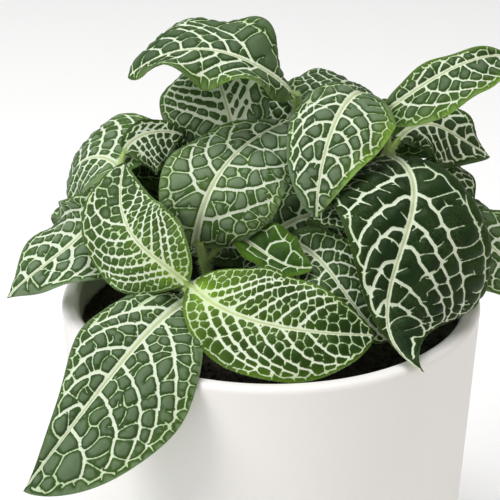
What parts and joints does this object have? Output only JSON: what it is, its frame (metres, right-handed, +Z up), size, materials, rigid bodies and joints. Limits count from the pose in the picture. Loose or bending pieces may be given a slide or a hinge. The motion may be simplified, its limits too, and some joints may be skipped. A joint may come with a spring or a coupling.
{
  "type": "potted nerve plant",
  "caption": "Bushy leafy houseplant with white-netted oval leaves, standing in soil in a round tapered white pot.",
  "frame": {"origin": "middle of the pot's foot, on the surface it stands on", "axes": "+Z up along the pot's axis, -Y towards the front where the lowest leaf hangs over the rim"},
  "size_m": [0.1506, 0.1448, 0.1844],
  "materials": {
    "pot_glaze": "white satin glaze on earthenware",
    "soil": "moist dark potting soil with crumbs",
    "foliage": "soft dark green leaf with a raised white vein net, lime towards some bases"
  },
  "bodies": {
    "root": {"pot": "pot_glaze", "soil": "soil", "leafy_stem_front": "foliage", "leafy_stem_middle": "foliage", "leafy_stem_left": "foliage", "leafy_stem_top": "foliage", "leafy_stem_right_middle": "foliage", "leafy_stem_right": "foliage", "leafy_stem_back": "foliage", "leafy_stem_back_right": "foliage", "leafy_stem_back_left": "foliage"}
  },
  "joints": []
}
